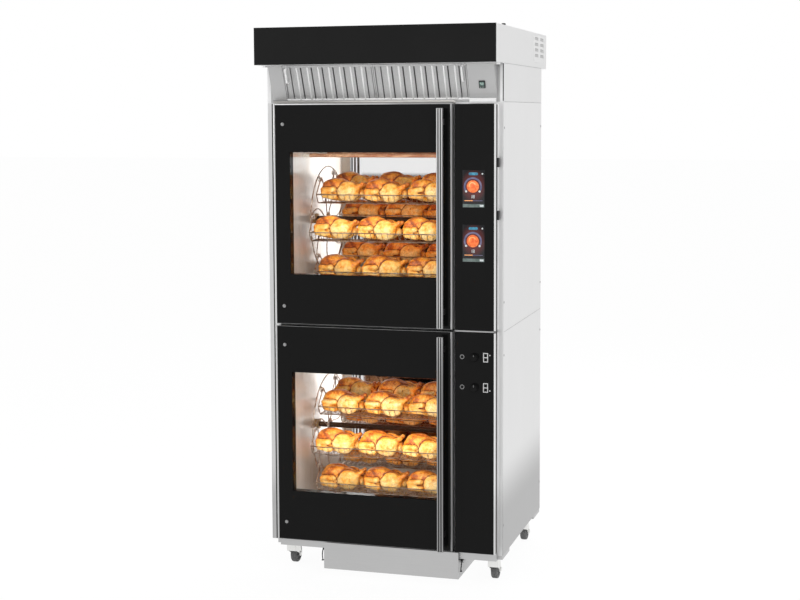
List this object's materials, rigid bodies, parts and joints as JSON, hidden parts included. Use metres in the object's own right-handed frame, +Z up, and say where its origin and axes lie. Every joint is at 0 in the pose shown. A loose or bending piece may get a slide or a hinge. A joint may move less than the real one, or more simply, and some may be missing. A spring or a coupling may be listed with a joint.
{
  "type": "chicken rotisserie",
  "caption": "Floor-standing two-tier electric chicken rotisserie with glazed doors, wire basket rotors, touch controls, a baffle-filter hood, a grease drawer and swivel castors.",
  "frame": {"origin": "on the floor, under the middle of the overall box", "axes": "+X to the right of someone facing the doors, +Y to the back, +Z up"},
  "size_m": [1.031, 1.076, 2.354],
  "materials": {
    "stainless": "satin brushed stainless",
    "cavity_steel": "polished stainless with roasting haze",
    "black_glass": "black printed toughened glass",
    "clear_glass": "clear toughened glass",
    "black_plastic": "moulded black",
    "screen": "lit touch screen",
    "handle_steel": "satin fluted extrusion",
    "black_fascia": "gloss black enamel",
    "heater_quartz": "quartz tube",
    "lamp_glass": "frosted lamp glass",
    "zinc": "bright zinc plate",
    "wheel_rubber": "grey tread",
    "roast": "golden roast skin on steel wire",
    "motor_grey": "grey enamel",
    "bronze": "sintered bronze"
  },
  "bodies": {
    "cabinet": {"base_frame": "stainless", "side_panels": "stainless", "panel_screws": "zinc", "rear_panels": "stainless", "rear_windows": "clear_glass", "cavity_liners": "cavity_steel", "front_frames": "stainless", "heating_elements": "heater_quartz", "cavity_lamps": "lamp_glass", "control_panels": "black_glass", "touch_screens": "screen", "port_covers": "black_plastic", "hood_casing": "stainless", "hood_fascia": "black_fascia", "hood_display": "black_plastic", "cable_gland": "black_plastic", "hood_fan_motor": "motor_grey", "hinge_brackets": "stainless", "rotor_bearings": "bronze", "drive_motors": "motor_grey", "drawer_runners": "black_plastic", "castor_plates": "zinc"},
    "lower_door": {"lower_door_leaf": "black_glass", "lower_door_window": "clear_glass", "lower_door_handle": "handle_steel"},
    "upper_door": {"upper_door_leaf": "black_glass", "upper_door_window": "clear_glass", "upper_door_handle": "handle_steel"},
    "lower_rotor": {"lower_rotor": "cavity_steel"},
    "lower_basket_1": {"lower_basket_1": "roast"},
    "lower_basket_2": {"lower_basket_2": "roast"},
    "lower_basket_3": {"lower_basket_3": "roast"},
    "lower_basket_4": {"lower_basket_4": "roast"},
    "lower_basket_5": {"lower_basket_5": "roast"},
    "lower_basket_6": {"lower_basket_6": "roast"},
    "lower_basket_7": {"lower_basket_7": "roast"},
    "upper_rotor": {"upper_rotor": "cavity_steel"},
    "upper_basket_1": {"upper_basket_1": "roast"},
    "upper_basket_2": {"upper_basket_2": "roast"},
    "upper_basket_3": {"upper_basket_3": "roast"},
    "upper_basket_4": {"upper_basket_4": "roast"},
    "upper_basket_5": {"upper_basket_5": "roast"},
    "upper_basket_6": {"upper_basket_6": "roast"},
    "upper_basket_7": {"upper_basket_7": "roast"},
    "grease_drawer": {"grease_drawer": "stainless"},
    "upper_knob": {"upper_knob": "black_plastic"},
    "lower_knob": {"lower_knob": "black_plastic"},
    "left_filter": {"left_filter": "stainless"},
    "right_filter": {"right_filter": "stainless"},
    "hood_fan": {"hood_fan": "stainless"},
    "front_left_fork": {"front_left_fork": "zinc"},
    "front_left_wheel": {"front_left_wheel": "wheel_rubber"},
    "front_right_fork": {"front_right_fork": "zinc"},
    "front_right_wheel": {"front_right_wheel": "wheel_rubber"},
    "rear_left_fork": {"rear_left_fork": "zinc"},
    "rear_left_wheel": {"rear_left_wheel": "wheel_rubber"},
    "rear_right_fork": {"rear_right_fork": "zinc"},
    "rear_right_wheel": {"rear_right_wheel": "wheel_rubber"}
  },
  "joints": [
    {"name": "lower_door_hinge", "type": "hinge", "parent": "cabinet", "child": "lower_door", "pos_m": [-0.476, -0.409, 0.618], "axis": [0, 0, -1], "range_deg": [0, 115]},
    {"name": "upper_door_hinge", "type": "hinge", "parent": "cabinet", "child": "upper_door", "pos_m": [-0.476, -0.409, 1.558], "axis": [0, 0, -1], "range_deg": [0, 115]},
    {"name": "lower_rotor_spin", "type": "hinge", "parent": "cabinet", "child": "lower_rotor", "pos_m": [-0.0615, -0.016, 0.576], "axis": [1, 0, 0], "continuous": true},
    {"name": "lower_basket_1_swing", "type": "hinge", "parent": "lower_rotor", "child": "lower_basket_1", "pos_m": [-0.0615, -0.22982, 0.59847], "axis": [1, 0, 0], "continuous": true},
    {"name": "lower_basket_2_swing", "type": "hinge", "parent": "lower_rotor", "child": "lower_basket_2", "pos_m": [-0.0615, -0.13175, 0.75718], "axis": [1, 0, 0], "continuous": true},
    {"name": "lower_basket_3_swing", "type": "hinge", "parent": "lower_rotor", "child": "lower_basket_3", "pos_m": [-0.0615, 0.05349, 0.77946], "axis": [1, 0, 0], "continuous": true},
    {"name": "lower_basket_4_swing", "type": "hinge", "parent": "lower_rotor", "child": "lower_basket_4", "pos_m": [-0.0615, 0.1864, 0.64853], "axis": [1, 0, 0], "continuous": true},
    {"name": "lower_basket_5_swing", "type": "hinge", "parent": "lower_rotor", "child": "lower_basket_5", "pos_m": [-0.0615, 0.1669, 0.46298], "axis": [1, 0, 0], "continuous": true},
    {"name": "lower_basket_6_swing", "type": "hinge", "parent": "lower_rotor", "child": "lower_basket_6", "pos_m": [-0.0615, 0.00967, 0.36254], "axis": [1, 0, 0], "continuous": true},
    {"name": "lower_basket_7_swing", "type": "hinge", "parent": "lower_rotor", "child": "lower_basket_7", "pos_m": [-0.0615, -0.16689, 0.42284], "axis": [1, 0, 0], "continuous": true},
    {"name": "upper_rotor_spin", "type": "hinge", "parent": "cabinet", "child": "upper_rotor", "pos_m": [-0.0615, -0.016, 1.516], "axis": [1, 0, 0], "continuous": true},
    {"name": "upper_basket_1_swing", "type": "hinge", "parent": "upper_rotor", "child": "upper_basket_1", "pos_m": [-0.0615, -0.22982, 1.53847], "axis": [1, 0, 0], "continuous": true},
    {"name": "upper_basket_2_swing", "type": "hinge", "parent": "upper_rotor", "child": "upper_basket_2", "pos_m": [-0.0615, -0.13175, 1.69718], "axis": [1, 0, 0], "continuous": true},
    {"name": "upper_basket_3_swing", "type": "hinge", "parent": "upper_rotor", "child": "upper_basket_3", "pos_m": [-0.0615, 0.05349, 1.71946], "axis": [1, 0, 0], "continuous": true},
    {"name": "upper_basket_4_swing", "type": "hinge", "parent": "upper_rotor", "child": "upper_basket_4", "pos_m": [-0.0615, 0.1864, 1.58853], "axis": [1, 0, 0], "continuous": true},
    {"name": "upper_basket_5_swing", "type": "hinge", "parent": "upper_rotor", "child": "upper_basket_5", "pos_m": [-0.0615, 0.1669, 1.40298], "axis": [1, 0, 0], "continuous": true},
    {"name": "upper_basket_6_swing", "type": "hinge", "parent": "upper_rotor", "child": "upper_basket_6", "pos_m": [-0.0615, 0.00967, 1.30254], "axis": [1, 0, 0], "continuous": true},
    {"name": "upper_basket_7_swing", "type": "hinge", "parent": "upper_rotor", "child": "upper_basket_7", "pos_m": [-0.0615, -0.16689, 1.36284], "axis": [1, 0, 0], "continuous": true},
    {"name": "drawer_slide", "type": "slide", "parent": "cabinet", "child": "grease_drawer", "axis": [0, -1, 0], "range_m": [0, 0.45]},
    {"name": "upper_knob_turn", "type": "hinge", "parent": "cabinet", "child": "upper_knob", "pos_m": [0.4025, -0.431, 0.981], "axis": [0, 1, 0], "range_deg": [0, 270]},
    {"name": "lower_knob_turn", "type": "hinge", "parent": "cabinet", "child": "lower_knob", "pos_m": [0.4025, -0.431, 0.855], "axis": [0, 1, 0], "range_deg": [0, 270]},
    {"name": "left_filter_slide", "type": "slide", "parent": "cabinet", "child": "left_filter", "axis": [0, -1, 0], "range_m": [0, 0.16]},
    {"name": "right_filter_slide", "type": "slide", "parent": "cabinet", "child": "right_filter", "axis": [0, -1, 0], "range_m": [0, 0.16]},
    {"name": "hood_fan_spin", "type": "hinge", "parent": "cabinet", "child": "hood_fan", "pos_m": [0, 0.082, 2.26], "axis": [0, 0, 1], "continuous": true},
    {"name": "front_left_swivel", "type": "hinge", "parent": "cabinet", "child": "front_left_fork", "pos_m": [-0.454, -0.29, 0.11], "axis": [0, 0, 1], "continuous": true},
    {"name": "front_left_roll", "type": "hinge", "parent": "front_left_fork", "child": "front_left_wheel", "pos_m": [-0.454, -0.252, 0.04], "axis": [1, 0, 0], "continuous": true},
    {"name": "front_right_swivel", "type": "hinge", "parent": "cabinet", "child": "front_right_fork", "pos_m": [0.454, -0.29, 0.11], "axis": [0, 0, 1], "continuous": true},
    {"name": "front_right_roll", "type": "hinge", "parent": "front_right_fork", "child": "front_right_wheel", "pos_m": [0.454, -0.252, 0.04], "axis": [1, 0, 0], "continuous": true},
    {"name": "rear_left_swivel", "type": "hinge", "parent": "cabinet", "child": "rear_left_fork", "pos_m": [-0.454, 0.328, 0.11], "axis": [0, 0, 1], "continuous": true},
    {"name": "rear_left_roll", "type": "hinge", "parent": "rear_left_fork", "child": "rear_left_wheel", "pos_m": [-0.454, 0.366, 0.04], "axis": [1, 0, 0], "continuous": true},
    {"name": "rear_right_swivel", "type": "hinge", "parent": "cabinet", "child": "rear_right_fork", "pos_m": [0.454, 0.328, 0.11], "axis": [0, 0, 1], "continuous": true},
    {"name": "rear_right_roll", "type": "hinge", "parent": "rear_right_fork", "child": "rear_right_wheel", "pos_m": [0.454, 0.366, 0.04], "axis": [1, 0, 0], "continuous": true}
  ],
  "couplings": [
    {"joint": "lower_basket_1_swing", "follows": "lower_rotor_spin", "ratio": -1},
    {"joint": "lower_basket_2_swing", "follows": "lower_rotor_spin", "ratio": -1},
    {"joint": "lower_basket_3_swing", "follows": "lower_rotor_spin", "ratio": -1},
    {"joint": "lower_basket_4_swing", "follows": "lower_rotor_spin", "ratio": -1},
    {"joint": "lower_basket_5_swing", "follows": "lower_rotor_spin", "ratio": -1},
    {"joint": "lower_basket_6_swing", "follows": "lower_rotor_spin", "ratio": -1},
    {"joint": "lower_basket_7_swing", "follows": "lower_rotor_spin", "ratio": -1},
    {"joint": "upper_basket_1_swing", "follows": "upper_rotor_spin", "ratio": -1},
    {"joint": "upper_basket_2_swing", "follows": "upper_rotor_spin", "ratio": -1},
    {"joint": "upper_basket_3_swing", "follows": "upper_rotor_spin", "ratio": -1},
    {"joint": "upper_basket_4_swing", "follows": "upper_rotor_spin", "ratio": -1},
    {"joint": "upper_basket_5_swing", "follows": "upper_rotor_spin", "ratio": -1},
    {"joint": "upper_basket_6_swing", "follows": "upper_rotor_spin", "ratio": -1},
    {"joint": "upper_basket_7_swing", "follows": "upper_rotor_spin", "ratio": -1}
  ]
}
